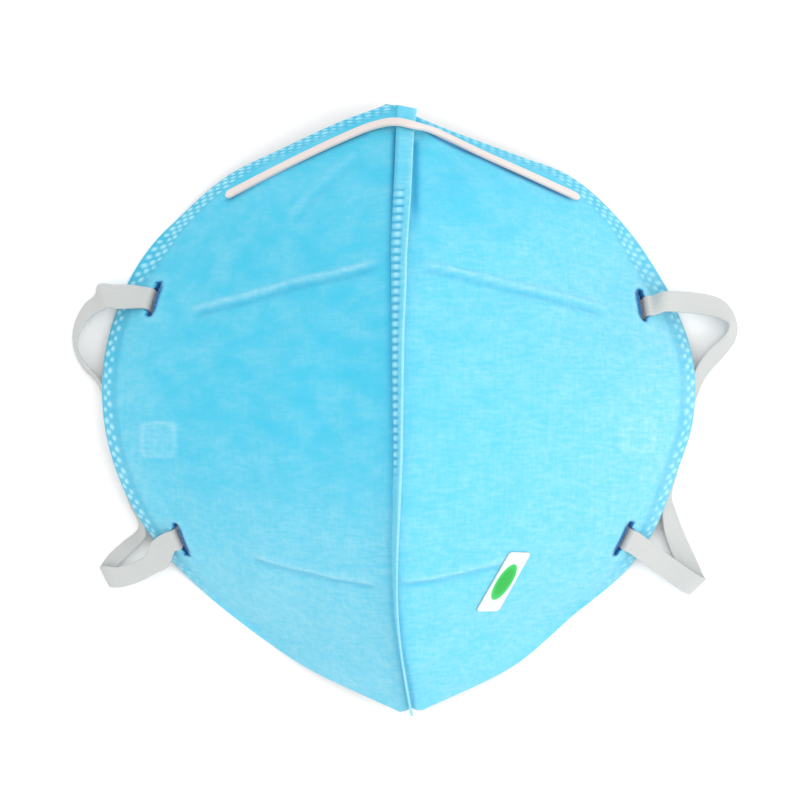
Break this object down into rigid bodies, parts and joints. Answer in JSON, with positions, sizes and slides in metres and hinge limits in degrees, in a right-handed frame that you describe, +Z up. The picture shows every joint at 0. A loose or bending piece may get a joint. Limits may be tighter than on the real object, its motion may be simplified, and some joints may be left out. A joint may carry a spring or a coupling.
{
  "type": "respirator mask",
  "caption": "Flat-fold respirator mask, opened out: two welded nonwoven half shells with a ridge seam, nose clip, sticker and elastic ear loops.",
  "frame": {"origin": "on the surface that the rim lies on, under the middle of the whole mask", "axes": "+Z up through the ridge, +Y towards the nose, +X across the mask"},
  "size_m": [0.1698, 0.1564, 0.0643],
  "materials": {
    "nonwoven": "sky blue spunbond nonwoven, matt",
    "seam": "sky blue nonwoven welded in short bars",
    "clip": "warm white plastic over bendable wire",
    "sticker": "white film sticker with a plain green shape",
    "elastic": "flat white knitted elastic"
  },
  "bodies": {
    "root": {"panel_left": "nonwoven", "panel_right": "nonwoven", "centre_seam": "seam", "nose_clip": "clip", "label": "sticker", "ear_loop_left": "elastic", "ear_loop_right": "elastic"}
  },
  "joints": []
}
